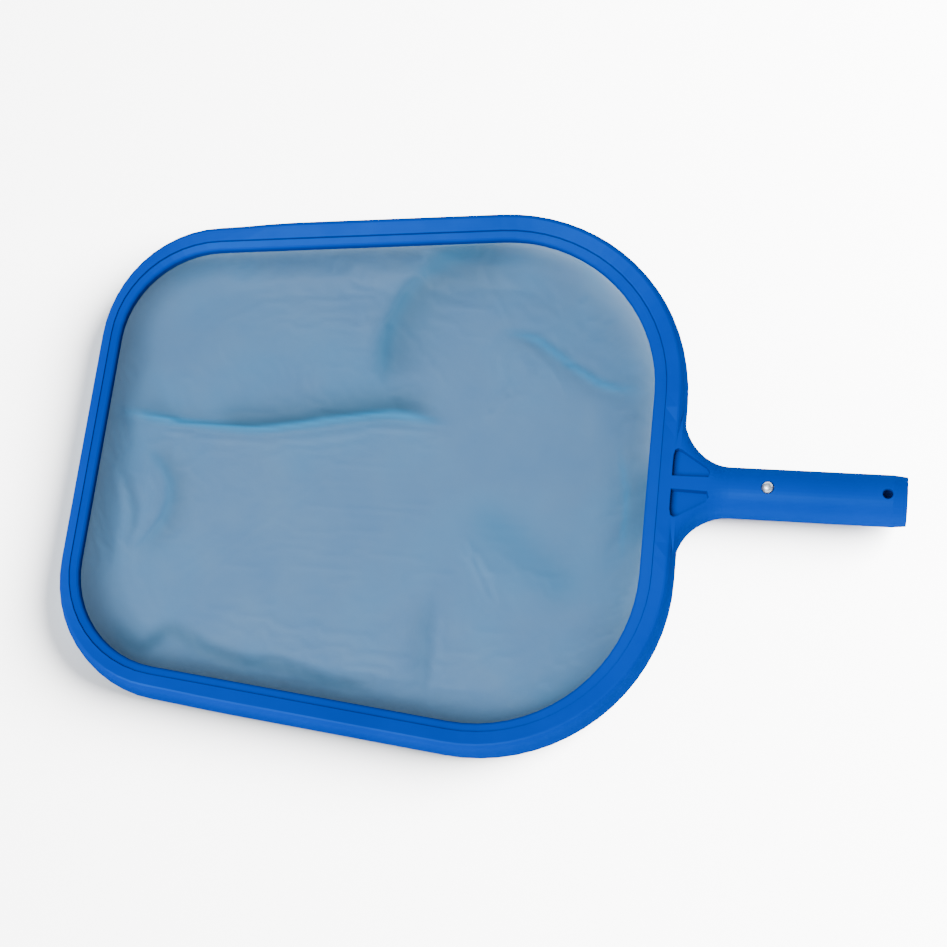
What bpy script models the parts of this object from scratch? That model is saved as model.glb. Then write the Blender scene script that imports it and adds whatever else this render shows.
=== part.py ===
"""Leaf skimmer head: a moulded frame with a tubular handle, a snap-in ring that clamps
the net bag and its welt, and the sprung snap clip that locks the handle in a pole.

Everything is in metres, +Z up. +X runs along the handle towards its open end, the
leading edge of the head faces -X, and the lowest point of the part is at Z = 0.
Section points are pairs (w, z) in millimetres, taken from the groove between the frame
and the ring: w is outward from the net, z is up.
"""
import math

import bmesh
import bpy
from mathutils import Matrix, Vector

MM = 0.001

# Groove between frame and ring, seen from above: a trapezoid with rounded corners.
GROOVE_LENGTH = 0.3276
GROOVE_FRONT_HALF = 0.1252
GROOVE_REAR_HALF = 0.1548
FRONT_RADIUS = 0.0622
REAR_RADIUS = 0.0940
FRONT_ARC_STEPS = 12
REAR_ARC_STEPS = 18
FRONT_EDGE_STEPS = 2
SIDE_FRONT_LENGTH = 0.045
SIDE_FRONT_STEPS = 3
SIDE_REAR_STEPS = 4
REAR_EDGE_STEPS = 6

# Handle: fits inside a 1 1/4 inch telescopic pole.
HANDLE_RADIUS = 0.01425
BORE_RADIUS = 0.01165
HANDLE_PITCH = math.radians(3.15)
HANDLE_SIDES = 48
HANDLE_LENGTH = 0.0951
LEAD_IN_LENGTH = 0.0075
LEAD_IN_DEPTH = 0.0008
BUTTON_TO_END = 0.0741
SPARE_HOLE_TO_END = 0.0105
BUTTON_HOLE_RADIUS = 0.0035
SPARE_HOLE_RADIUS = 0.0029
BORE_DEPTH = 0.0885
CUT_OVERRUN = 0.010

# Neck: its sides flare out from the tube to the rim, wider at the bottom than the top.
NECK_REACH = 0.0390
NECK_FLARE_LENGTH = 0.0280
NECK_FLARE_WIDTH = 0.0330
NECK_TAPER = 0.0022
NECK_SQUARENESS = 4.2
NECK_ARC_STEPS = 12
# Inside the rim the neck starts as a nearly square block, set in from the rim's faces.
NECK_START = 0.0034
NECK_START_SQUARENESS = 9.0
NECK_START_SINK = 0.0006
NECK_CREST_INSET = 0.0020
NECK_LIFT = 0.0002
# How much sooner than its width the neck's section turns round and its underside rises.
NECK_ROUNDING = 1.1
NECK_RISE = 1.3
# The rim's band sinks to the neck's top, in millimetres, over this half-width.
NECK_SINK = 2.5
NECK_SINK_HALF = 0.028
NECK_SINK_FADE = 0.022
BAND_FROM = 5.0

BUTTON_PROTRUSION = 0.0026

# The part is centred on X, and rests on the dome of its lower button at Z = 0.
FRONT_OVERHANG = 0.0104
HANDLE_REACH = HANDLE_LENGTH * math.cos(HANDLE_PITCH) + (
    (HANDLE_RADIUS - LEAD_IN_DEPTH) * math.sin(HANDLE_PITCH)
)
OVERALL_LENGTH = FRONT_OVERHANG + GROOVE_LENGTH + NECK_REACH + HANDLE_REACH
GROOVE_X = FRONT_OVERHANG - 0.5 * OVERALL_LENGTH
ROOT_Z = (HANDLE_RADIUS + BUTTON_PROTRUSION) * math.cos(HANDLE_PITCH) - (
    (HANDLE_LENGTH - BUTTON_TO_END) * math.sin(HANDLE_PITCH)
)
ROOT = Vector((GROOVE_X + GROOVE_LENGTH + NECK_REACH, 0.0, ROOT_Z))
GROOVE_Z = ROOT_Z + 0.01144

# Rim of the frame: skirt, rounded shoulder, top band, step, ledge, and back inside.
RIM_SIDE = [
    (12.3, -15.0), (12.0, -6.0), (11.5, -1.6), (10.7, 1.6), (9.6, 3.7), (8.3, 4.6),
    (7.3, 4.7), (0.5, 2.4), (0.5, -6.0), (-3.0, -6.0), (-3.0, -8.2), (2.7, -8.2),
    (2.7, -0.4), (7.4, 1.8), (9.3, -2.2), (9.8, -15.0),
]
RIM_FRONT = [
    (10.4, -14.0), (8.5, -6.0), (7.7, -4.0), (6.8, -1.8), (6.1, -0.4), (5.4, 0.6),
    (4.6, 1.1), (0.5, 1.6), (0.5, -6.0), (-3.0, -6.0), (-3.0, -8.2), (2.7, -8.2),
    (2.7, -1.2), (4.2, -1.6), (5.6, -5.0), (7.6, -14.0),
]
RING_SECTION = [
    (0.2, 1.0), (-3.2, -0.2), (-4.0, -0.8), (-4.5, -1.7),
    (-4.5, -4.6), (-2.4, -4.6), (-2.4, -2.7), (0.2, -2.7),
]
NET_SECTION = [
    (-39.0, -25.2), (-18.5, -22.9), (-9.2, -18.4), (-5.5, -11.2), (-4.4, -5.0),
    (-2.35, -5.0), (-2.35, -5.5), (-3.5, -5.5), (-4.6, -11.5), (-8.5, -19.0),
    (-18.1, -23.9), (-39.0, -26.2),
]
WELT_CENTRE = (-1.05, -4.2)
WELT_RADIUS = 1.0
WELT_SIDES = 8
REAR_WIDENING = 1.9
REAR_WIDENING_FROM = -3.0

RIB_COUNT = 26
RIB_HALF_THICKNESS = 0.0009
RIB_BOTTOM = -11.5
RIB_SINK = 1.2
RIB_FREE_HALF = 0.056

# Three-cornered recesses on top of the neck and the pockets under it, beside a rib.
RECESS_PLAN = [
    (6.4, 3.0), (6.2, 16.0), (7.1, 19.4), (8.9, 20.5), (11.3, 19.8),
    (27.2, 9.6), (28.9, 6.8), (27.7, 3.5),
]
RECESS_FLOOR = -2.2
RECESS_TOP = 9.0
RECESS_DRAFT = 1.6
POCKET_PLAN = [(14.0, 2.6), (14.0, 23.0), (31.5, 8.0), (31.5, 2.6)]
POCKET_ROOF = -6.0
POCKET_BOTTOM = -45.0

# Snap clip: a U-shaped strip whose two legs swing on the ends of its bend.
CLIP_BEND_RADIUS = 0.0070
CLIP_THICKNESS = 0.0007
CLIP_HALF_WIDTH = 0.0040
CLIP_LEG_LENGTH = 0.0480
CLIP_LEG_TAIL = 0.0055
CLIP_LEG_AT_BUTTON = 0.0098
CLIP_BEND_STEPS = 14
RIVET_HOLE_RADIUS = 0.0020
BUTTON_PROFILE = [
    (0.0, 2.6), (0.9, 2.5), (1.8, 2.15), (2.5, 1.55), (3.0, 0.75), (3.2, -0.2),
    (3.2, -3.7), (1.7, -3.7), (1.7, -5.4), (2.7, -5.4), (2.7, -6.1), (0.0, -6.1),
]
BUTTON_SEGMENTS = 24
GAP = 0.0003


def clear_scene():
    for obj in list(bpy.data.objects):
        bpy.data.objects.remove(obj, do_unlink=True)


def make_material(name, colour, roughness, metallic=0.0):
    material = bpy.data.materials.new(name)
    material.use_nodes = True
    shader = material.node_tree.nodes["Principled BSDF"]
    shader.inputs["Base Color"].default_value = (*colour, 1.0)
    shader.inputs["Roughness"].default_value = roughness
    shader.inputs["Metallic"].default_value = metallic
    return material


def make_object(name, mesh_edit, material=None, smooth_angle=35.0):
    """Turn a bmesh into a named object with outward faces."""
    bmesh.ops.recalc_face_normals(mesh_edit, faces=mesh_edit.faces)
    mesh = bpy.data.meshes.new(name)
    mesh_edit.to_mesh(mesh)
    mesh_edit.free()
    mesh.shade_smooth()
    mesh.set_sharp_from_angle(angle=math.radians(smooth_angle))
    obj = bpy.data.objects.new(name, mesh)
    bpy.context.collection.objects.link(obj)
    if material is not None:
        mesh.materials.append(material)
    return obj


def boolean(target, cutter, operation):
    """Add an exact boolean with a cutter that is only a construction guide."""
    cutter.hide_render = True
    cutter.display_type = "WIRE"
    modifier = target.modifiers.new(cutter.name, "BOOLEAN")
    modifier.object = cutter
    modifier.operation = operation
    modifier.solver = "EXACT"


def smoothstep(value):
    value = min(max(value, 0.0), 1.0)
    return value * value * (3.0 - 2.0 * value)


def mix(first, second, amount):
    return first + (second - first) * amount


def half_outline():
    """Stations from the middle of the leading edge to the middle of the rear edge, on -Y.

    Each station is (position, outward normal, front weight, rear weight).
    """
    side_angle = math.atan2(GROOVE_REAR_HALF - GROOVE_FRONT_HALF, GROOVE_LENGTH)
    front_turn = 0.5 * math.pi - side_angle
    rear_turn = 0.5 * math.pi + side_angle
    front_cut = FRONT_RADIUS * math.tan(0.5 * front_turn)
    rear_cut = REAR_RADIUS * math.tan(0.5 * rear_turn)
    side_length = math.hypot(GROOVE_LENGTH, GROOVE_REAR_HALF - GROOVE_FRONT_HALF)
    side_rear_length = side_length - front_cut - rear_cut - SIDE_FRONT_LENGTH
    stretches = [
        (GROOVE_FRONT_HALF - front_cut, 0.0, FRONT_EDGE_STEPS, (1, 1), (0, 0)),
        (FRONT_RADIUS * front_turn, front_turn, FRONT_ARC_STEPS, (1, 0.3), (0, 0)),
        (SIDE_FRONT_LENGTH, 0.0, SIDE_FRONT_STEPS, (0.3, 0), (0, 0)),
        (side_rear_length, 0.0, SIDE_REAR_STEPS, (0, 0), (0, 0)),
        (REAR_RADIUS * rear_turn, rear_turn, REAR_ARC_STEPS, (0, 0), (0, 1)),
        (GROOVE_REAR_HALF - rear_cut, 0.0, REAR_EDGE_STEPS, (0, 0), (1, 1)),
    ]
    place = Vector((GROOVE_X, 0.0))
    heading = -0.5 * math.pi
    stations = []
    for length, turn, steps, front, rear in stretches:
        for step in range(steps):
            part = step / steps
            angle = heading + turn * part
            if turn:
                radius = length / turn
                shift = Vector((
                    radius * (math.sin(angle) - math.sin(heading)),
                    radius * (math.cos(heading) - math.cos(angle)),
                ))
            else:
                shift = Vector((math.cos(angle), math.sin(angle))) * length * part
            normal = Vector((math.sin(angle), -math.cos(angle)))
            front_weight = mix(*front, smoothstep(part))
            rear_weight = mix(*rear, smoothstep(part))
            stations.append((place + shift, normal, front_weight, rear_weight))
        end_angle = heading + turn
        if turn:
            radius = length / turn
            place = place + Vector((
                radius * (math.sin(end_angle) - math.sin(heading)),
                radius * (math.cos(heading) - math.cos(end_angle)),
            ))
        else:
            place = place + Vector((math.cos(heading), math.sin(heading))) * length
        heading = end_angle
    stations.append((Vector((place.x, 0.0)), Vector((1.0, 0.0)), 0.0, 1.0))
    return stations


def outline():
    """All stations around the head, closed and symmetric about the handle's axis."""
    lower = half_outline()
    upper = []
    for place, normal, front, rear in reversed(lower[1:-1]):
        upper.append((Vector((place.x, -place.y)), Vector((normal.x, -normal.y)), front, rear))
    return lower + upper


def section_point(station, point):
    """World position of one section point at one station, with the rear widening."""
    place, normal, _front, rear = station
    offset, height = point
    if offset < REAR_WIDENING_FROM:
        offset -= REAR_WIDENING * rear
    flat = place + normal * offset * MM
    return Vector((flat.x, flat.y, GROOVE_Z + height * MM))


def rim_section(station):
    """Section points of the rim at a station, blunter at the front, sunk at the neck."""
    place, _normal, front, rear = station
    fade = smoothstep((abs(place.y) - NECK_SINK_HALF) / NECK_SINK_FADE)
    sink = NECK_SINK * rear * (1.0 - fade)
    section = []
    for (side_w, side_z), (front_w, front_z) in zip(RIM_SIDE, RIM_FRONT):
        raised = side_w > BAND_FROM and side_z > 0.0
        height = mix(side_z, front_z, front) - (sink if raised else 0.0)
        section.append((mix(side_w, front_w, front), height))
    return section


def loft(rings, closed_path=True, closed_rings=True):
    """Skin a list of rings of points; an open path or open rings are capped."""
    mesh_edit = bmesh.new()
    rows = [[mesh_edit.verts.new(point) for point in ring] for ring in rings]
    row_pairs = len(rows) if closed_path else len(rows) - 1
    count = len(rows[0])
    column_pairs = count if closed_rings else count - 1
    for row in range(row_pairs):
        first = rows[row]
        second = rows[(row + 1) % len(rows)]
        for column in range(column_pairs):
            after = (column + 1) % count
            mesh_edit.faces.new((first[column], first[after], second[after], second[column]))
    if not closed_path:
        mesh_edit.faces.new(rows[0])
        mesh_edit.faces.new(rows[-1])
    if not closed_rings:
        mesh_edit.faces.new([row[0] for row in rows])
        mesh_edit.faces.new([row[-1] for row in rows])
    return mesh_edit


def prism(plan, bottom, top, side, floor_inset=0.0):
    """A prism over a plan given from the rear of the groove, in millimetres."""
    centre_x = sum(x for x, _ in plan) / len(plan)
    centre_y = sum(y for _, y in plan) / len(plan)
    rings = []
    for height, inset in ((bottom, floor_inset), (top, 0.0)):
        ring = []
        for x, y in plan:
            reach = math.hypot(x - centre_x, y - centre_y)
            shrink = 1.0 - inset / reach
            ring.append(Vector((
                GROOVE_X + GROOVE_LENGTH + mix(centre_x, x, shrink) * MM,
                side * mix(centre_y, y, shrink) * MM,
                GROOVE_Z + height * MM,
            )))
        rings.append(ring)
    return loft(rings, closed_path=False)


def handle_frame():
    """Matrix from the handle's own frame (X along it, Z through its holes) to the world."""
    return Matrix.Translation(ROOT) @ Matrix.Rotation(-HANDLE_PITCH, 4, "Y")


def handle_point(along, across, up):
    return handle_frame() @ Vector((along, across, up))


def round_bar(along_start, along_end, radius, sides=HANDLE_SIDES):
    """A bar along the handle's axis."""
    rings = []
    for along in (along_start, along_end):
        ring = []
        for index in range(sides):
            angle = 2.0 * math.pi * index / sides
            ring.append(handle_point(along, radius * math.cos(angle), radius * math.sin(angle)))
        rings.append(ring)
    return loft(rings, closed_path=False)


def neck_ring(place, half_width, top, bottom, exponent, taper, pitch):
    """A rounded section across the handle: exponent 2 is round, a high one is nearly a box."""
    ring = []
    centre = 0.5 * (top + bottom)
    half_height = 0.5 * (top - bottom)
    for index in range(HANDLE_SIDES):
        angle = 2.0 * math.pi * index / HANDLE_SIDES
        cosine = math.cos(angle)
        sine = math.sin(angle)
        rise = math.copysign(abs(sine) ** (2.0 / exponent), sine)
        across = math.copysign(abs(cosine) ** (2.0 / exponent), cosine)
        across *= half_width - taper * rise
        up = half_height * rise
        ring.append(Vector((place - up * math.sin(pitch), across, centre + up * math.cos(pitch))))
    return ring


def neck_and_handle():
    """Outer surface of the neck and the tube, from inside the rim to the open end."""
    neck_start = GROOVE_X + GROOVE_LENGTH + NECK_START
    crest = GROOVE_X + GROOVE_LENGTH + RIM_SIDE[6][0] * MM
    rim_top = GROOVE_Z + (RIM_SIDE[6][1] - NECK_SINK) * MM
    rim_bottom = GROOVE_Z + RIM_SIDE[0][1] * MM + NECK_LIFT
    widest = HANDLE_RADIUS + NECK_FLARE_WIDTH
    start_top = rim_top - NECK_START_SINK
    crest_width = widest - NECK_CREST_INSET
    rings = [
        neck_ring(neck_start, widest, start_top, rim_bottom, NECK_START_SQUARENESS, 0.0, 0.0),
        neck_ring(crest, crest_width, rim_top, rim_bottom, NECK_SQUARENESS, NECK_TAPER, 0.0),
    ]
    flare_start = ROOT.x - NECK_FLARE_LENGTH
    for step in range(NECK_ARC_STEPS):
        turn = 0.5 * math.pi * (1.0 - step / NECK_ARC_STEPS)
        place = ROOT.x - NECK_FLARE_LENGTH * math.sin(turn)
        along = (place - crest) / (ROOT.x - crest)
        flared = (place - flare_start) / NECK_FLARE_LENGTH
        taper = NECK_TAPER * (1.0 - smoothstep(flared))
        half_width = HANDLE_RADIUS + NECK_FLARE_WIDTH * (1.0 - math.cos(turn)) - 0.5 * taper
        top = mix(rim_top, ROOT.z + HANDLE_RADIUS, smoothstep(along))
        bottom = mix(rim_bottom, ROOT.z - HANDLE_RADIUS, smoothstep(NECK_RISE * flared))
        exponent = mix(NECK_SQUARENESS, 2.0, smoothstep(NECK_ROUNDING * flared))
        pitch = HANDLE_PITCH * smoothstep(flared)
        rings.append(neck_ring(place, half_width, top, bottom, exponent, taper, pitch))
    tube = [
        (0.0, HANDLE_RADIUS),
        (HANDLE_LENGTH - LEAD_IN_LENGTH, HANDLE_RADIUS),
        (HANDLE_LENGTH, HANDLE_RADIUS - LEAD_IN_DEPTH),
    ]
    for along, radius in tube:
        ring = []
        for index in range(HANDLE_SIDES):
            angle = 2.0 * math.pi * index / HANDLE_SIDES
            ring.append(handle_point(along, radius * math.cos(angle), radius * math.sin(angle)))
        rings.append(ring)
    return loft(rings, closed_path=False)


def station_at(stations, lengths, travelled):
    """The station at a distance along the groove, between its neighbours."""
    index = 0
    while lengths[index + 1] < travelled:
        index += 1
    low = stations[index]
    high = stations[(index + 1) % len(stations)]
    part = (travelled - lengths[index]) / (lengths[index + 1] - lengths[index])
    normal = low[1].lerp(high[1], part).normalized()
    return low[0].lerp(high[0], part), normal, mix(low[2], high[2], part), 0.0


def rib_blocks():
    """Stiffening ribs across the open underside of the rim, clear of the neck."""
    stations = outline()
    lengths = [0.0]
    for low, high in zip(stations, stations[1:] + stations[:1]):
        lengths.append(lengths[-1] + (high[0] - low[0]).length)
    mesh_edit = bmesh.new()
    for index in range(RIB_COUNT):
        station = station_at(stations, lengths, (index + 0.5) * lengths[-1] / RIB_COUNT)
        place, normal = station[:2]
        if normal.x > 0.9 and abs(place.y) < RIB_FREE_HALF:
            continue
        section = rim_section(station)
        inner = 0.5 * (section[7][0] + section[11][0])
        profile = (
            (inner, RIB_BOTTOM),
            (0.5 * (section[0][0] + section[15][0]), RIB_BOTTOM),
            (0.5 * (section[1][0] + section[14][0]), section[14][1]),
            (section[13][0], section[13][1] + RIB_SINK),
            (inner, section[12][1] + RIB_SINK),
        )
        tangent = Vector((-normal.y, normal.x))
        faces = []
        for along in (-RIB_HALF_THICKNESS, RIB_HALF_THICKNESS):
            face = []
            for offset, height in profile:
                flat = place + normal * offset * MM + tangent * along
                face.append(mesh_edit.verts.new((flat.x, flat.y, GROOVE_Z + height * MM)))
            mesh_edit.faces.new(face)
            faces.append(face)
        near, far = faces
        for corner in range(len(profile)):
            after = (corner + 1) % len(profile)
            mesh_edit.faces.new((near[corner], near[after], far[after], far[corner]))
    return mesh_edit


def hole_cutter(to_end, radius):
    """A round bar through both walls of the tube, across its axis."""
    rings = []
    for up in (-2.0 * HANDLE_RADIUS, 2.0 * HANDLE_RADIUS):
        ring = []
        for index in range(BUTTON_SEGMENTS):
            angle = 2.0 * math.pi * (index + 0.5) / BUTTON_SEGMENTS
            along = HANDLE_LENGTH - to_end + radius * math.cos(angle)
            ring.append(handle_point(along, radius * math.sin(angle), up))
        rings.append(ring)
    return loft(rings, closed_path=False)


def build_frame(plastic):
    """Rim, ribs, neck and tube as one moulding, with its bore, holes, recesses and pockets."""
    stations = outline()
    rings = []
    for station in stations:
        rings.append([section_point(station, point) for point in rim_section(station)])
    frame = make_object("frame", loft(rings), plastic)
    boolean(frame, make_object("guide_ribs", rib_blocks()), "UNION")
    boolean(frame, make_object("guide_neck", neck_and_handle()), "UNION")
    bore = round_bar(HANDLE_LENGTH - BORE_DEPTH, HANDLE_LENGTH + CUT_OVERRUN, BORE_RADIUS)
    boolean(frame, make_object("guide_bore", bore), "DIFFERENCE")
    holes = (
        ("button", BUTTON_TO_END, BUTTON_HOLE_RADIUS),
        ("spare", SPARE_HOLE_TO_END, SPARE_HOLE_RADIUS),
    )
    for name, to_end, radius in holes:
        cutter = hole_cutter(to_end, radius)
        boolean(frame, make_object(f"guide_{name}_hole", cutter), "DIFFERENCE")
    for name, side in (("left", 1.0), ("right", -1.0)):
        recess = prism(RECESS_PLAN, RECESS_FLOOR, RECESS_TOP, side, RECESS_DRAFT)
        boolean(frame, make_object(f"guide_recess_{name}", recess), "DIFFERENCE")
        pocket = prism(POCKET_PLAN, POCKET_BOTTOM, POCKET_ROOF, side)
        boolean(frame, make_object(f"guide_pocket_{name}", pocket), "DIFFERENCE")


def build_ring(plastic):
    """The ring that snaps into the rim and clamps the net's hem."""
    rings = []
    for station in outline():
        rings.append([section_point(station, point) for point in RING_SECTION])
    make_object("retaining_ring", loft(rings), plastic)


def build_welt(cord):
    """The hem's cord, under the ring."""
    rings = []
    for station in outline():
        ring = []
        for index in range(WELT_SIDES):
            angle = 2.0 * math.pi * index / WELT_SIDES
            offset = WELT_CENTRE[0] + WELT_RADIUS * math.cos(angle)
            height = WELT_CENTRE[1] + WELT_RADIUS * math.sin(angle)
            ring.append(section_point(station, (offset, height)))
        rings.append(ring)
    make_object("net_welt", loft(rings), cord)


def build_net(mesh_cloth):
    """The bag's outer shape as a thin closed shell."""
    rings = []
    for station in outline():
        rings.append([section_point(station, point) for point in NET_SECTION])
    make_object("net_bag", loft(rings, closed_rings=False), mesh_cloth)


def strip(path, half_width):
    """A bent strip of sheet metal: path points are (along, up, normal angle)."""
    rings = []
    for along, up, angle in path:
        half = 0.5 * CLIP_THICKNESS
        ring = []
        for side, out in ((-1, -1), (1, -1), (1, 1), (-1, 1)):
            ring.append(handle_point(
                along + out * half * math.cos(angle),
                side * half_width,
                up + out * half * math.sin(angle),
            ))
        rings.append(ring)
    return loft(rings, closed_path=False)


def pivot_empty(name, along, up):
    """An empty on the bend's end, where a leg swings."""
    empty = bpy.data.objects.new(name, None)
    bpy.context.collection.objects.link(empty)
    empty.matrix_world = handle_frame() @ Matrix.Translation((along, 0.0, up))
    return empty


def attach(obj, parent):
    """Parent a piece to its pivot and keep it where it is."""
    obj.parent = parent
    obj.matrix_parent_inverse = parent.matrix_world.inverted()


def build_clip(steel, button_steel):
    """The bend, and the two legs with their buttons on their pivots."""
    button_along = HANDLE_LENGTH - BUTTON_TO_END
    pivot_along = button_along + CLIP_LEG_LENGTH
    bend = []
    for step in range(CLIP_BEND_STEPS + 1):
        angle = math.pi * (0.5 - step / CLIP_BEND_STEPS)
        bend.append((
            pivot_along + CLIP_BEND_RADIUS * math.cos(angle),
            CLIP_BEND_RADIUS * math.sin(angle),
            angle,
        ))
    make_object("clip_bend", strip(bend, CLIP_HALF_WIDTH), steel)

    rise = CLIP_LEG_AT_BUTTON - CLIP_BEND_RADIUS
    slope = math.atan2(rise, CLIP_LEG_LENGTH)
    for name, side in (("upper", 1.0), ("lower", -1.0)):
        pivot = pivot_empty(f"clip_pivot_{name}", pivot_along, side * CLIP_BEND_RADIUS)
        normal_angle = side * (0.5 * math.pi - slope)
        path = []
        for travelled in (GAP, CLIP_LEG_LENGTH + CLIP_LEG_TAIL):
            path.append((
                pivot_along - travelled,
                side * (CLIP_BEND_RADIUS + rise * travelled / CLIP_LEG_LENGTH),
                normal_angle,
            ))
        leg = make_object(f"clip_leg_{name}", strip(path, CLIP_HALF_WIDTH), steel)
        rivet_hole = []
        for up in (0.5 * side * CLIP_LEG_AT_BUTTON, 1.5 * side * CLIP_LEG_AT_BUTTON):
            rivet_hole.append([
                handle_point(
                    button_along + RIVET_HOLE_RADIUS * math.cos(2.0 * math.pi * index / BUTTON_SEGMENTS),
                    RIVET_HOLE_RADIUS * math.sin(2.0 * math.pi * index / BUTTON_SEGMENTS),
                    up,
                )
                for index in range(BUTTON_SEGMENTS)
            ])
        cutter = make_object(f"guide_rivet_{name}", loft(rivet_hole, closed_path=False))
        boolean(leg, cutter, "DIFFERENCE")
        button = make_object(f"clip_button_{name}", button_mesh(button_along, side), button_steel)
        attach(leg, pivot)
        attach(button, pivot)


def button_mesh(along, side):
    """A domed button with its shank and rivet head, turned about its own axis."""
    mesh_edit = bmesh.new()
    verts = []
    for radius, height in BUTTON_PROFILE:
        up = side * (HANDLE_RADIUS + height * MM)
        verts.append(mesh_edit.verts.new(handle_point(along, radius * MM, up)))
    edges = []
    for first, second in zip(verts, verts[1:]):
        edges.append(mesh_edit.edges.new((first, second)))
    axis = handle_point(along, 0.0, 1.0) - handle_point(along, 0.0, 0.0)
    bmesh.ops.spin(
        mesh_edit, geom=verts + edges, cent=handle_point(along, 0.0, 0.0), axis=axis,
        angle=2.0 * math.pi, steps=BUTTON_SEGMENTS, use_merge=True,
    )
    bmesh.ops.remove_doubles(mesh_edit, verts=mesh_edit.verts, dist=1.0e-6)
    return mesh_edit


def build():
    clear_scene()
    blue = make_material("moulded_blue", (0.0, 0.115, 0.52), 0.38)
    ring_blue = make_material("ring_blue", (0.0, 0.135, 0.56), 0.36)
    cord_blue = make_material("welt_blue", (0.05, 0.16, 0.40), 0.85)
    net_blue = make_material("net_blue", (0.20, 0.34, 0.50), 0.80)
    steel = make_material("spring_steel", (0.55, 0.56, 0.57), 0.30, 1.0)
    button_steel = make_material("button_steel", (0.72, 0.73, 0.74), 0.25, 1.0)
    build_frame(blue)
    build_ring(ring_blue)
    build_welt(cord_blue)
    build_net(net_blue)
    build_clip(steel, button_steel)


build()
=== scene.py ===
import math

import bmesh
import bpy
from mathutils import Matrix, Vector
from mathutils.geometry import delaunay_2d_cdt
from mathutils.kdtree import KDTree


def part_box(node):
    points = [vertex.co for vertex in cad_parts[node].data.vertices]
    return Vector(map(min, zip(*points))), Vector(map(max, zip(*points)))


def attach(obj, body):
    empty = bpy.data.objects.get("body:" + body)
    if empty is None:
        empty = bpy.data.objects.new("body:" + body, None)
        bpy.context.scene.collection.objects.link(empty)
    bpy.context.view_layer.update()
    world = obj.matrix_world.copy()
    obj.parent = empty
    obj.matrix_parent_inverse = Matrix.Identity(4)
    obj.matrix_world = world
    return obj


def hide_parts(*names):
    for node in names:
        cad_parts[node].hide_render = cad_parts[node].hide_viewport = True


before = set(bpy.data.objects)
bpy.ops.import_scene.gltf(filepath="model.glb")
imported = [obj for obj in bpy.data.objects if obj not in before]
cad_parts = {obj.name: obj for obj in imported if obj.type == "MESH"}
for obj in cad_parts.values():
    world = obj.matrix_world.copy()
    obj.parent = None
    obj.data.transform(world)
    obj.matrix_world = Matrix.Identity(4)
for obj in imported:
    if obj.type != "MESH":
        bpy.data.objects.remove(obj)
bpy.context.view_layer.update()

# Camera and view.
CAMERA_PLACE = Vector((0.1470, -0.2682, 0.9254))
CAMERA_TARGET = Vector((-0.0014, -0.0022, 0.0271))
CAMERA_ROLL = math.radians(6.516)
CAMERA_LENS = 64.45
SENSOR_WIDTH = 36.0

# Light: an even white world, a key for the floor and a key for the part.
WORLD_STRENGTH = 1.35
FLOOR_KEY = {"place": (1.70, 0.48, 1.38), "size": 2.0, "power": 880.0}
PART_KEY = {"place": (-0.65, -0.75, 1.75), "size": 1.4, "power": 275.0}
FLOOR_SIZE = 8.0

# Groove between the frame and its ring, seen from above, in metres: the net's outline.
GROOVE_LENGTH = 0.3276
GROOVE_FRONT_HALF = 0.1252
GROOVE_REAR_HALF = 0.1548
FRONT_RADIUS = 0.0622
REAR_RADIUS = 0.0940
REAR_WIDENING = 0.0019
WIDENED_FROM = 0.0030

# The hem stands in for the welt's solid: the groove is found from that solid's box.
HEM_CENTRE = (-0.00105, -0.0042)
HEM_RADIUS = 0.0010
HEM_SIDES = 10
HEM_PITCH = 0.0012
STITCH_EVERY = 3
STITCH_PINCH = 0.10
hem_low, hem_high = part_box("net_welt")
GROOVE_X = hem_low[0] + HEM_CENTRE[0] + HEM_RADIUS
GROOVE_Z = 0.5 * (hem_low[2] + hem_high[2]) - HEM_CENTRE[1]

# Bag: heights below the groove at distances in from it, held at the first two.
HELD_RINGS = ((0.0023, -0.0052), (0.0034, -0.0054))
WALL_RINGS = (
    (0.0045, -0.0066), (0.0051, -0.0090), (0.0060, -0.0118), (0.0074, -0.0146),
    (0.0094, -0.0176), (0.0122, -0.0201), (0.0155, -0.0216),
)
FLOOR_PROFILE = ((0.0155, -0.0216), (0.0260, -0.0237), (0.0400, -0.0247), (0.2000, -0.0252))
GRID_PITCH = 0.0030
RIM_PITCH = 0.0030
FLOOR_CLEARANCE = 0.6 * GRID_PITCH
SAME_POINT = 1.0e-7

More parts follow.
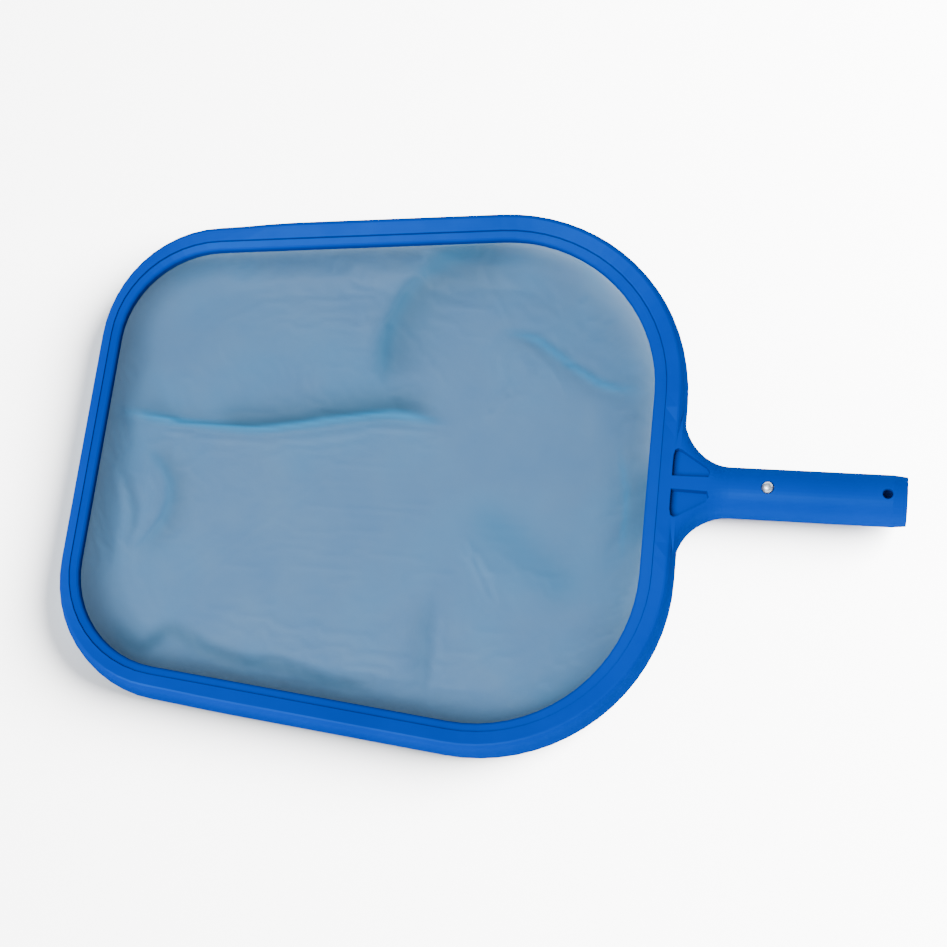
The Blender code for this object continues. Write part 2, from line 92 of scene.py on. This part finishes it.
# Folds of the net's floor: route from the groove's front, height, how far the steep
# (right of the route) and the gentle (left of it) side reach, how strongly the
# doubled edge shows, and how much shade is painted on the shaded side.
FOLDS = (
    ([(0.000, 0.028), (0.029, 0.026), (0.057, 0.024), (0.088, 0.023), (0.118, 0.028),
      (0.141, 0.033), (0.164, 0.037), (0.185, 0.036), (0.206, 0.033)],
     0.0030, 0.0026, 0.0100, 0.95, 0.35),
    # This fold barely rises: it is mostly painted shade.
    ([(0.050, 0.0235), (0.085, 0.024), (0.118, 0.029), (0.141, 0.034), (0.168, 0.038),
      (0.200, 0.040)], 0.0006, 0.0026, 0.0140, 0.10, 0.75),
    ([(0.236, 0.149), (0.204, 0.139), (0.180, 0.128), (0.165, 0.108), (0.159, 0.084),
      (0.159, 0.062), (0.164, 0.046)], 0.0022, 0.0050, 0.0210, 0.30, 0.50),
    ([(0.318, 0.058), (0.294, 0.061), (0.276, 0.070), (0.257, 0.083), (0.245, 0.090),
      (0.222, 0.094)], 0.0018, 0.0026, 0.0080, 0.75, 0.25),
    ([(0.215, -0.010), (0.236, -0.026), (0.252, -0.038), (0.277, -0.058), (0.295, -0.070)],
     0.0014, 0.0110, 0.0130, 0.24, 0.20),
    ([(0.206, -0.133), (0.204, -0.100), (0.203, -0.083), (0.203, -0.060)],
     0.0013, 0.0036, 0.0080, 0.10, 0.28),
    ([(0.300, 0.032), (0.307, 0.007), (0.311, -0.016), (0.309, -0.050)],
     0.0010, 0.0024, 0.0040, 0.40, 0.05),
    ([(0.018, 0.014), (0.035, -0.003), (0.043, -0.018), (0.040, -0.039), (0.024, -0.060)],
     0.0018, 0.0036, 0.0110, 0.30, 0.35),
    ([(0.006, 0.004), (0.018, -0.023), (0.022, -0.041), (0.015, -0.064)],
     0.0016, 0.0026, 0.0034, 0.05, 0.20),
    ([(0.228, 0.149), (0.254, 0.143), (0.273, 0.132), (0.293, 0.112)],
     0.0012, 0.0026, 0.0040, 0.30, 0.10),
    ([(0.012, -0.090), (0.040, -0.112), (0.056, -0.100), (0.081, -0.110), (0.103, -0.115),
      (0.123, -0.115), (0.144, -0.120), (0.190, -0.129)],
     0.0016, 0.0050, 0.0050, 0.05, 0.55),
)
# Painted shade on the steep wall of the bag at the front, rear, far and near sides: how dark it
# is painted on each.
WALL_SHADE = {"front": 0.05, "rear": 0.25, "far": 0.08, "near": 0.55}
WALL_SHADE_REACH = 0.0240
# The bag hangs less deep behind the rear of the rim, and falls away from there.
REAR_LIFT = 0.45
REAR_FALL = 0.110
FOLD_FADE = 0.030
FOLD_REACH = 3.0
ROUTE_STEPS = 8

# Cloth simulation: the net shrinks by less than one per cent, so that it hangs taut.
SIMULATION_FRAMES = 24
CLOTH_SETTINGS = {
    "quality": 7,
    "mass": 0.02,
    "tension_stiffness": 12.0,
    "compression_stiffness": 12.0,
    "shear_stiffness": 6.0,
    "bending_stiffness": 0.6,
    "tension_damping": 8.0,
    "bending_damping": 0.6,
    "air_damping": 3.0,
    "shrink_min": -0.006,
    "shrink_max": -0.006,
}
FLOOR_GAP = 0.0012
TABLE_THICKNESS = 0.001

# Woven mesh of the net: colours of its threads and of the light between them.
THREAD_PITCH = 0.00048
THREAD_DARK = (0.0098, 0.0340, 0.0735)
THREAD_LIGHT = (0.0162, 0.0415, 0.0790)
THREAD_PATCH = (0.0062, 0.0395, 0.0850)
# THREAD_SHADED and SHADED_OPENING paint shade: darker threads and fewer openings where the wall
# or a fold's side is shaded.
THREAD_SHADED = (0.005, 0.021, 0.038)
THREAD_DOUBLED = (0.002, 0.050, 0.112)
OPENING_TINT = (0.58, 0.78, 1.0)
OPENING_MOST = 0.29
OPENING_LEAST = 0.08
DOUBLED_OPENING = 0.30
SHADED_OPENING = 0.35

# Plastics: light and dark flow marks, and rubbed patches.
FRAME_COLOURS = ((0.0, 0.0120, 0.103), (0.0, 0.0105, 0.093), (0.0, 0.0165, 0.116))
RING_COLOURS = ((0.0, 0.0124, 0.104), (0.0, 0.0108, 0.094), (0.0, 0.0170, 0.118))
PLASTIC_SHINE = 0.005
SHINE_TINT = (0.03, 0.30, 1.0)
EVEN_SHADING_WEIGHT = 90

# Steel: colour, roughness, and how the brush marks are stretched along the part.
STRIP_STEEL = ((0.55, 0.56, 0.57), 0.30, (0.1, 1.0, 1.0))
BUTTON_STEEL = ((0.24, 0.27, 0.31), 0.45, (1.0, 1.0, 1.0))
BRUSH_SHADE = 0.82


def smoothstep(value):
    value = min(max(value, 0.0), 1.0)
    return value * value * (3.0 - 2.0 * value)


def interpolate(pairs, value):
    """Read a height off a short list of (distance, height) pairs."""
    for (low, first), (high, second) in zip(pairs, pairs[1:]):
        if value <= high:
            part = max(value - low, 0.0) / (high - low)
            return first + (second - first) * part
    return pairs[-1][1]


def outline(inset, pitch):
    """Closed outline of the head, inset from the groove: a trapezoid with round corners.

    The inset grows towards the rear by the width that the ring gains there.
    """
    side_angle = math.atan2(GROOVE_REAR_HALF - GROOVE_FRONT_HALF, GROOVE_LENGTH)
    front_turn = 0.5 * math.pi - side_angle
    rear_turn = 0.5 * math.pi + side_angle
    front_cut = FRONT_RADIUS * math.tan(0.5 * front_turn)
    rear_cut = REAR_RADIUS * math.tan(0.5 * rear_turn)
    side = math.hypot(GROOVE_LENGTH, GROOVE_REAR_HALF - GROOVE_FRONT_HALF)
    stretches = (
        (GROOVE_FRONT_HALF - front_cut, 0.0, 0.0, 0.0),
        (FRONT_RADIUS * front_turn, front_turn, 0.0, 0.0),
        (side - front_cut - rear_cut, 0.0, 0.0, 0.0),
        (REAR_RADIUS * rear_turn, rear_turn, 0.0, 1.0),
        (GROOVE_REAR_HALF - rear_cut, 0.0, 1.0, 1.0),
    )
    place = Vector((GROOVE_X, 0.0))
    heading = -0.5 * math.pi
    half = []
    for length, turn, rear_start, rear_end in stretches:
        steps = max(2, round(length / pitch))
        for step in range(steps):
            part = step / steps
            angle = heading + turn * part
            if turn:
                radius = length / turn
                shift = Vector((
                    radius * (math.sin(angle) - math.sin(heading)),
                    radius * (math.cos(heading) - math.cos(angle)),
                ))
            else:
                shift = Vector((math.cos(angle), math.sin(angle))) * length * part
            rear = rear_start + (rear_end - rear_start) * smoothstep(part)
            widening = REAR_WIDENING * rear if inset > WIDENED_FROM else 0.0
            normal = Vector((math.sin(angle), -math.cos(angle)))
            half.append(place + shift - normal * (inset + widening))
        end_angle = heading + turn
        if turn:
            radius = length / turn
            place = place + Vector((
                radius * (math.sin(end_angle) - math.sin(heading)),
                radius * (math.cos(heading) - math.cos(end_angle)),
            ))
        else:
            place = place + Vector((math.cos(heading), math.sin(heading))) * length
        heading = end_angle
    widening = REAR_WIDENING if inset > WIDENED_FROM else 0.0
    half.append(Vector((place.x - inset - widening, 0.0)))
    return half + [Vector((point.x, -point.y)) for point in reversed(half[1:-1])]


def inside(point, polygon):
    """True if a point lies within a closed polygon."""
    within = False
    for first, second in zip(polygon, polygon[1:] + polygon[:1]):
        if (first.y > point.y) != (second.y > point.y):
            cross = first.x + (point.y - first.y) * (second.x - first.x) / (second.y - first.y)
            if point.x < cross:
                within = not within
    return within


def smooth_route(points):
    """A Catmull-Rom curve through a list of points."""
    ends = [points[0] * 2 - points[1]] + points + [points[-1] * 2 - points[-2]]
    route = []
    for before, start, end, after in zip(ends, ends[1:], ends[2:], ends[3:]):
        for step in range(ROUTE_STEPS):
            part = step / ROUTE_STEPS
            route.append(0.5 * (
                2 * start + (end - before) * part
                + (2 * before - 5 * start + 4 * end - after) * part ** 2
                + (3 * start - before - 3 * end + after) * part ** 3
            ))
    route.append(points[-1])
    return route


class Fold:
    """A ridge in the net: steep on the right of its route, gentle on the left."""

    def __init__(self, points, height, steep, gentle, edge, shade):
        corners = [Vector((GROOVE_X + x, y)) for x, y in points]
        self.route = smooth_route(corners)
        self.height = height
        self.steep = steep
        self.gentle = gentle
        self.edge = edge
        self.shade = shade
        self.travelled = [0.0]
        for first, second in zip(self.route, self.route[1:]):
            self.travelled.append(self.travelled[-1] + (second - first).length)

    def share(self, point):
        """How much of the ridge, its doubled edge and the shade painted on its shaded side lie
        over a point.
        """
        best = None
        for index, (first, second) in enumerate(zip(self.route, self.route[1:])):
            along = second - first
            part = min(max((point - first).dot(along) / along.length_squared, 0.0), 1.0)
            offset = point - (first + along * part)
            if best is None or offset.length < best[0]:
                side = along.x * offset.y - along.y * offset.x
                best = (offset.length, side, self.travelled[index] + along.length * part)
        distance, side, travelled = best
        if distance > FOLD_REACH * max(self.gentle, self.steep):
            return 0.0, 0.0, 0.0
        ends = smoothstep(travelled / FOLD_FADE)
        ends *= smoothstep((self.travelled[-1] - travelled) / FOLD_FADE)
        reach = self.gentle if side > 0.0 else self.steep
        ridge = math.exp(-(distance / reach) ** 2)
        edge = math.exp(-(distance / self.steep) ** 2)
        shade = ridge if side > 0.0 else edge
        return ends * ridge, ends * edge * self.edge, ends * shade * self.shade


def wall_shade(outward):
    """How much shade is painted on the wall, from the direction that it faces away from the bag.
    """
    along = WALL_SHADE["rear"] if outward.x > 0.0 else WALL_SHADE["front"]
    across = WALL_SHADE["far"] if outward.y > 0.0 else WALL_SHADE["near"]
    return along * outward.x ** 2 + across * outward.y ** 2


def hang(outward, distance):
    """Share of the bag's depth that a point hangs at, beside the rim that it faces."""
    lift = REAR_LIFT * max(outward.x, 0.0) ** 2
    return 1.0 - lift * (1.0 - smoothstep((distance - WALL_RINGS[-1][0]) / REAR_FALL))


def net_points():
    """Points of the bag, rings first: (plan, height, cloth coordinates, painted wall shade).

    The cloth coordinates lay the steep wall out flat, so that the weave isn't stretched.
    """
    rims = HELD_RINGS + WALL_RINGS
    groove = outline(0.0, RIM_PITCH)
    floor_inset = rims[-1][0]
    top = HELD_RINGS[-1][1]
    points = []
    for number, (inset, height) in enumerate(rims):
        hung = 0.0
        for (near, upper), (far, lower) in zip(rims[number:], rims[number + 1:]):
            hung += math.hypot(far - near, upper - lower)
        stretched = hung - (floor_inset - inset)
        depth = smoothstep((WALL_SHADE_REACH - inset) / WALL_SHADE_REACH)
        for start, place in zip(groove, outline(inset, RIM_PITCH)):
            outward = (start - place).normalized()
            lowered = height
            if height < top:
                lowered = top + (height - top) * hang(outward, inset)
            cloth_place = place + outward * stretched
            points.append((place, lowered, cloth_place, depth * wall_shade(outward)))
    innermost = outline(floor_inset + FLOOR_CLEARANCE, RIM_PITCH)
    border = KDTree(len(groove))
    for index, place in enumerate(groove):
        border.insert((place.x, place.y, 0.0), index)
    border.balance()
    row_pitch = GRID_PITCH * math.sqrt(0.75)
    rows = int(GROOVE_REAR_HALF / row_pitch)
    columns = int(GROOVE_LENGTH / GRID_PITCH)
    for row in range(-rows, rows + 1):
        for column in range(columns + 1):
            place = Vector((
                GROOVE_X + (column + 0.5 * (row % 2)) * GRID_PITCH, row * row_pitch,
            ))
            if not inside(place, innermost):
                continue
            nearest, _, distance = border.find((place.x, place.y, 0.0))
            outward = Vector((nearest.x - place.x, nearest.y - place.y)).normalized()
            depth = smoothstep((WALL_SHADE_REACH - distance) / WALL_SHADE_REACH)
            height = top + (interpolate(FLOOR_PROFILE, distance) - top) * hang(outward, distance)
            points.append((place, height, place, depth * wall_shade(outward)))
    return points


def build_net_mesh():
    """Net bag before it settles: held rings, steep wall, and a floor with its folds."""
    folds = [Fold(*fold) for fold in FOLDS]
    points = net_points()
    rim = len(outline(0.0, RIM_PITCH))
    edges = [(index, (index + 1) % rim) for index in range(rim)]
    held = rim * len(HELD_RINGS)
    plan = [place for place, _, _, _ in points]
    _places, _edges, faces, origins, _, _ = delaunay_2d_cdt(plan, edges, [], 1, SAME_POINT)
    mesh_edit = bmesh.new()
    doubled_layer = mesh_edit.verts.layers.float.new("doubled")
    shaded_layer = mesh_edit.verts.layers.float.new("shaded")
    cloth_layer = mesh_edit.loops.layers.uv.new("cloth")
    cloth_places = []
    held_verts = []
    for source, *_merged in origins:
        place, height, cloth_place, shaded = points[source]
        doubled = 0.0
        if source < held:
            held_verts.append(len(cloth_places))
        else:
            for fold in folds:
                ridge, edge, shade = fold.share(place)
                height += ridge * fold.height
                doubled = max(doubled, edge)
                # Painted shade of a fold's shaded side, where it is darker than the wall's
                # painted shade.
                shaded = max(shaded, shade)
        cloth_places.append(cloth_place)
        vert = mesh_edit.verts.new((place.x, place.y, GROOVE_Z + height))
        vert[doubled_layer] = doubled
        vert[shaded_layer] = shaded
    mesh_edit.verts.ensure_lookup_table()
    for face in faces:
        made = mesh_edit.faces.new([mesh_edit.verts[index] for index in face])
        for loop, index in zip(made.loops, face):
            loop[cloth_layer].uv = cloth_places[index]
    mesh_edit.normal_update()
    mesh = bpy.data.meshes.new("skimmer_net")
    mesh_edit.to_mesh(mesh)
    mesh_edit.free()
    return mesh, held_verts


def settle(net, held):
    """Let the bag hang and rest on the floor by a cloth simulation, and keep its shape."""
    group = net.vertex_groups.new(name="held")
    group.add(held, 1.0, "REPLACE")
    modifier = net.modifiers.new("cloth", "CLOTH")
    for name, value in CLOTH_SETTINGS.items():
        setattr(modifier.settings, name, value)
    modifier.settings.vertex_group_mass = group.name
    modifier.collision_settings.distance_min = FLOOR_GAP
    modifier.collision_settings.use_self_collision = False
    modifier.point_cache.frame_end = SIMULATION_FRAMES
    bpy.ops.mesh.primitive_plane_add(size=1.0)
    table = bpy.context.object
    table.name = "cloth_table"
    table.modifiers.new("table", "COLLISION")
    table.collision.thickness_outer = TABLE_THICKNESS
    scene = bpy.context.scene
    for number in range(1, SIMULATION_FRAMES + 1):
        scene.frame_set(number)
    evaluated = net.evaluated_get(bpy.context.evaluated_depsgraph_get())
    settled = bpy.data.meshes.new_from_object(evaluated)
    net.modifiers.clear()
    net.data = settled
    bpy.data.objects.remove(table, do_unlink=True)
    scene.frame_set(1)
    for vert in settled.vertices:
        vert.co.z = max(vert.co.z, FLOOR_GAP)


def build_net():
    """The net as a smooth sheet, settled by a cloth simulation."""
    mesh, held = build_net_mesh()
    net = bpy.data.objects.new("skimmer_net", mesh)
    bpy.context.scene.collection.objects.link(net)
    settle(net, held)
    net.data.shade_smooth()
    net.data.materials.clear()
    net.data.materials.append(net_material())
    smooth = net.modifiers.new("smooth", "SUBSURF")
    smooth.levels = 1
    smooth.render_levels = 1
    return net


def build_hem():
    """Rolled hem of the net round its cord, pinched by its stitches."""
    centre = outline(-HEM_CENTRE[0], HEM_PITCH)
    mesh_edit = bmesh.new()
    rows = []
    for index, place in enumerate(centre):
        ahead = centre[(index + 1) % len(centre)] - centre[index - 1]
        normal = Vector((ahead.y, -ahead.x)).normalized()
        radius = HEM_RADIUS * (1.0 - STITCH_PINCH * (index % STITCH_EVERY == 0))
        row = []
        for side in range(HEM_SIDES):
            angle = 2.0 * math.pi * (side + 0.5 * (index % 2)) / HEM_SIDES
            flat = place + normal * radius * math.cos(angle)
            height = GROOVE_Z + HEM_CENTRE[1] + radius * math.sin(angle)
            row.append(mesh_edit.verts.new((flat.x, flat.y, height)))
        rows.append(row)
    for first, second in zip(rows, rows[1:] + rows[:1]):
        for side in range(HEM_SIDES):
            after = (side + 1) % HEM_SIDES
            mesh_edit.faces.new((first[side], first[after], second[after], second[side]))
    bmesh.ops.recalc_face_normals(mesh_edit, faces=mesh_edit.faces)
    mesh = bpy.data.meshes.new("net_hem")
    mesh_edit.to_mesh(mesh)
    mesh_edit.free()
    mesh.shade_smooth()
    mesh.materials.append(hem_material())
    hem = bpy.data.objects.new("net_hem", mesh)
    bpy.context.scene.collection.objects.link(hem)
    return hem


class Nodes:
    """A material's node tree, with short calls to add and join its nodes."""

    def __init__(self, name):
        self.material = bpy.data.materials.new(name)
        self.material.use_nodes = True
        self.tree = self.material.node_tree
        self.shader = self.tree.nodes["Principled BSDF"]
        self.output = self.tree.nodes["Material Output"]

    def add(self, kind, **values):
        node = self.tree.nodes.new(kind)
        for key, value in values.items():
            setattr(node, key, value)
        return node

    def link(self, source, target):
        self.tree.links.new(source, target)

    def coordinates(self):
        return self.add("ShaderNodeTexCoord").outputs["Object"]

    def noise(self, vector, scale, detail=3.0, roughness=0.5):
        node = self.add("ShaderNodeTexNoise")
        node.inputs["Scale"].default_value = scale
        node.inputs["Detail"].default_value = detail
        node.inputs["Roughness"].default_value = roughness
        self.link(vector, node.inputs["Vector"])
        return node.outputs["Fac"]

    def spread(self, value, from_low, from_high, to_low, to_high):
        node = self.add("ShaderNodeMapRange")
        for key, number in zip(
            ("From Min", "From Max", "To Min", "To Max"), (from_low, from_high, to_low, to_high)
        ):
            node.inputs[key].default_value = number
        self.link(value, node.inputs["Value"])
        return node.outputs["Result"]

    def blend(self, share, first, second):
        """Mix two colours, or a colour socket and a colour, by a share."""
        node = self.add("ShaderNodeMix", data_type="RGBA")
        self.link(share, node.inputs["Factor"])
        for key, colour in (("A", first), ("B", second)):
            socket = [s for s in node.inputs if s.name == key and s.type == "RGBA"][0]
            if isinstance(colour, tuple):
                socket.default_value = (*colour, 1.0)
            else:
                self.link(colour, socket)
        return [s for s in node.outputs if s.type == "RGBA"][0]

    def maths(self, operation, first, second):
        node = self.add("ShaderNodeMath", operation=operation)
        for socket, value in zip(node.inputs, (first, second)):
            if isinstance(value, (int, float)):
                socket.default_value = value
            else:
                self.link(value, socket)
        return node.outputs["Value"]

    def bump(self, height, strength, distance, normal=None):
        node = self.add("ShaderNodeBump")
        node.inputs["Strength"].default_value = strength
        node.inputs["Distance"].default_value = distance
        self.link(height, node.inputs["Height"])
        if normal is not None:
            self.link(normal, node.inputs["Normal"])
        return node.outputs["Normal"]


def plastic_material(name, light, dark, worn):
    """Semi-gloss moulded polypropylene: flow marks, fine texture and rubbed patches."""
    nodes = Nodes(name)
    at = nodes.coordinates()
    flow = nodes.spread(nodes.noise(at, 14.0, 4.0, 0.6), 0.35, 0.65, 0.0, 1.0)
    colour = nodes.blend(flow, dark, light)
    scuff = nodes.spread(nodes.noise(at, 420.0, 5.0, 0.75), 0.60, 0.78, 0.0, 0.35)
    nodes.link(nodes.blend(scuff, colour, worn), nodes.shader.inputs["Base Color"])
    gloss = nodes.spread(nodes.noise(at, 60.0, 5.0, 0.6), 0.3, 0.7, 0.26, 0.40)
    nodes.link(gloss, nodes.shader.inputs["Roughness"])
    sink = nodes.bump(nodes.noise(at, 38.0, 2.0), 0.25, 0.0006)
    grain = nodes.bump(nodes.noise(at, 1700.0, 2.0), 0.16, 0.00012, sink)
    nodes.link(grain, nodes.shader.inputs["Normal"])
    nodes.shader.inputs["Specular IOR Level"].default_value = 0.0
    shine = nodes.add("ShaderNodeBsdfGlossy")
    shine.inputs["Color"].default_value = (*SHINE_TINT, 1.0)
    nodes.link(gloss, shine.inputs["Roughness"])
    nodes.link(grain, shine.inputs["Normal"])
    mix = nodes.add("ShaderNodeMixShader")
    mix.inputs["Fac"].default_value = PLASTIC_SHINE
    nodes.link(nodes.shader.outputs["BSDF"], mix.inputs[1])
    nodes.link(shine.outputs["BSDF"], mix.inputs[2])
    nodes.link(mix.outputs["Shader"], nodes.output.inputs["Surface"])
    return nodes.material


def steel_material(name, colour, roughness, brush):
    """Stainless steel, with fine marks drawn out along the part."""
    nodes = Nodes(name)
    stretch = nodes.add("ShaderNodeMapping")
    stretch.inputs["Scale"].default_value = brush
    nodes.link(nodes.coordinates(), stretch.inputs["Vector"])
    marks = nodes.noise(stretch.outputs["Vector"], 900.0, 3.0, 0.6)
    shade = tuple(BRUSH_SHADE * value for value in colour)
    nodes.link(nodes.blend(nodes.spread(marks, 0.3, 0.7, 0.0, 1.0), shade, colour),
               nodes.shader.inputs["Base Color"])
    nodes.link(nodes.spread(marks, 0.3, 0.7, roughness - 0.08, roughness + 0.10),
               nodes.shader.inputs["Roughness"])
    nodes.link(nodes.bump(marks, 0.15, 0.00005), nodes.shader.inputs["Normal"])
    nodes.shader.inputs["Metallic"].default_value = 1.0
    return nodes.material


def weave(nodes, vector, pitch):
    """Height of two crossing sets of threads, 1 on a thread and 0 in a hole."""
    parts = nodes.add("ShaderNodeSeparateXYZ")
    nodes.link(vector, parts.inputs[0])
    threads = []
    for axis in ("X", "Y"):
        turn = nodes.maths("MULTIPLY", parts.outputs[axis], 2.0 * math.pi / pitch)
        threads.append(nodes.spread(nodes.maths("COSINE", turn, 0.0), -1.0, 1.0, 0.0, 1.0))
    return nodes.maths("MAXIMUM", threads[0], threads[1])


def net_material():
    """Fine nylon mesh that the floor shows through, denser where it is doubled, and darkened by
    painted shade on the bag's walls and the folds' shaded sides.
    """
    nodes = Nodes("net_mesh")
    plan = nodes.add("ShaderNodeUVMap", uv_map="cloth").outputs["UV"]
    height = weave(nodes, plan, THREAD_PITCH)
    doubled = nodes.add("ShaderNodeAttribute", attribute_name="doubled").outputs["Fac"]
    shaded = nodes.add("ShaderNodeAttribute", attribute_name="shaded").outputs["Fac"]
    at = nodes.coordinates()
    cloudy = nodes.spread(nodes.noise(at, 20.0, 4.0, 0.6), 0.3, 0.7, 0.0, 1.0)
    thread = nodes.blend(cloudy, THREAD_DARK, THREAD_LIGHT)
    patches = nodes.spread(nodes.noise(at, 11.0, 3.0, 0.55), 0.46, 0.64, 0.0, 0.55)
    thread = nodes.blend(patches, thread, THREAD_PATCH)
    # Painted shade: the threads darken where the shaded attribute is high.
    thread = nodes.blend(shaded, thread, THREAD_SHADED)
    thread = nodes.blend(doubled, thread, THREAD_DOUBLED)
    nodes.link(thread, nodes.shader.inputs["Base Color"])
    nodes.shader.inputs["Roughness"].default_value = 0.62
    nodes.shader.inputs["Specular IOR Level"].default_value = 0.08
    nodes.shader.inputs["Sheen Weight"].default_value = 0.02
    nodes.link(nodes.bump(height, 0.25, 0.0001), nodes.shader.inputs["Normal"])
    clear = nodes.add("ShaderNodeBsdfTransparent")
    clear.inputs["Color"].default_value = (*OPENING_TINT, 1.0)
    openings = nodes.spread(height, 0.15, 0.85, OPENING_MOST, OPENING_LEAST)
    # Doubled fabric and painted shade both close the openings.
    for share, least in ((doubled, DOUBLED_OPENING), (shaded, SHADED_OPENING)):
        openings = nodes.maths("MULTIPLY", openings, nodes.spread(share, 0.0, 1.0, 1.0, least))
    mix = nodes.add("ShaderNodeMixShader")
    nodes.link(openings, mix.inputs["Fac"])
    nodes.link(nodes.shader.outputs["BSDF"], mix.inputs[1])
    nodes.link(clear.outputs["BSDF"], mix.inputs[2])
    nodes.link(mix.outputs["Shader"], nodes.output.inputs["Surface"])
    return nodes.material


def hem_material():
    """The same mesh rolled up, darker and rougher."""
    nodes = Nodes("net_hem")
    at = nodes.coordinates()
    height = weave(nodes, at, THREAD_PITCH)
    nodes.link(nodes.blend(height, (0.004, 0.016, 0.050), (0.010, 0.040, 0.110)),
               nodes.shader.inputs["Base Color"])
    nodes.shader.inputs["Roughness"].default_value = 0.85
    nodes.link(nodes.bump(height, 0.6, 0.0002), nodes.shader.inputs["Normal"])
    return nodes.material


def floor_material():
    """Plain pale paper, a little uneven in tone."""
    nodes = Nodes("studio_floor")
    cloudy = nodes.noise(nodes.coordinates(), 3.0, 2.0)
    nodes.link(nodes.blend(cloudy, (0.90, 0.90, 0.895), (0.92, 0.92, 0.92)),
               nodes.shader.inputs["Base Color"])
    nodes.shader.inputs["Roughness"].default_value = 0.9
    nodes.shader.inputs["Specular IOR Level"].default_value = 0.1
    return nodes.material


def add_camera():
    """The camera, rolled a little about its own axis."""
    data = bpy.data.cameras.new("camera")
    data.lens = CAMERA_LENS
    data.sensor_width = SENSOR_WIDTH
    camera = bpy.data.objects.new("camera", data)
    bpy.context.scene.collection.objects.link(camera)
    back = (CAMERA_PLACE - CAMERA_TARGET).normalized()
    right = Vector((0.0, 1.0, 0.0)).cross(back).normalized()
    up = back.cross(right)
    turned_right = right * math.cos(CAMERA_ROLL) + up * math.sin(CAMERA_ROLL)
    turned_up = up * math.cos(CAMERA_ROLL) - right * math.sin(CAMERA_ROLL)
    turn = Matrix((turned_right, turned_up, back)).transposed().to_4x4()
    camera.matrix_world = Matrix.Translation(CAMERA_PLACE) @ turn
    bpy.context.scene.camera = camera


def area_light(name, place, size, power):
    """A round soft light that points at the middle of the part."""
    data = bpy.data.lights.new(name, "AREA")
    data.shape = "DISK"
    data.size = size
    data.energy = power
    light = bpy.data.objects.new(name, data)
    bpy.context.scene.collection.objects.link(light)
    light.location = place
    light.rotation_euler = (-Vector(place)).to_track_quat("-Z", "Y").to_euler()
    return light


def light_only(light, lit):
    """Let a light fall on the listed objects alone."""
    group = bpy.data.collections.new(light.name + "_lit")
    for item in lit:
        group.objects.link(item)
    light.light_linking.receiver_collection = group


def add_studio():
    """World, floor and the floor's key; returns the part's key."""
    world = bpy.data.worlds.new("studio")
    bpy.context.scene.world = world
    world.use_nodes = True
    background = world.node_tree.nodes["Background"]
    background.inputs["Color"].default_value = (1.0, 1.0, 1.0, 1.0)
    background.inputs["Strength"].default_value = WORLD_STRENGTH
    backdrop_key = area_light("backdrop_key", **FLOOR_KEY)
    bpy.ops.mesh.primitive_plane_add(size=FLOOR_SIZE)
    floor = bpy.context.object
    floor.name = "studio_floor"
    floor.data.materials.append(floor_material())
    light_only(backdrop_key, [floor])
    return area_light("subject_key", **PART_KEY)


def dress(node, material):
    """Give a CAD node its procedural material, and even shading over its flats."""
    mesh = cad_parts[node].data
    mesh.materials.clear()
    mesh.materials.append(material)
    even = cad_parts[node].modifiers.new("even_shading", "WEIGHTED_NORMAL")
    even.weight = EVEN_SHADING_WEIGHT
    even.keep_sharp = True


def dress_cad():
    """Materials of all the CAD nodes that show."""
    dress("frame", plastic_material("frame_plastic", *FRAME_COLOURS))
    dress("retaining_ring", plastic_material("ring_plastic", *RING_COLOURS))
    strip = steel_material("clip_steel", *STRIP_STEEL)
    for node in ("clip_bend", "clip_leg_upper", "clip_leg_lower"):
        dress(node, strip)
    turned = steel_material("button_steel", *BUTTON_STEEL)
    for node in ("clip_button_upper", "clip_button_lower"):
        dress(node, turned)


add_camera()
subject_key = add_studio()
dress_cad()

net = build_net()
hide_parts("net_bag")
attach(net, "head")
hem = build_hem()
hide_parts("net_welt")
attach(hem, "head")
light_only(subject_key, [net, hem] + list(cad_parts.values()))
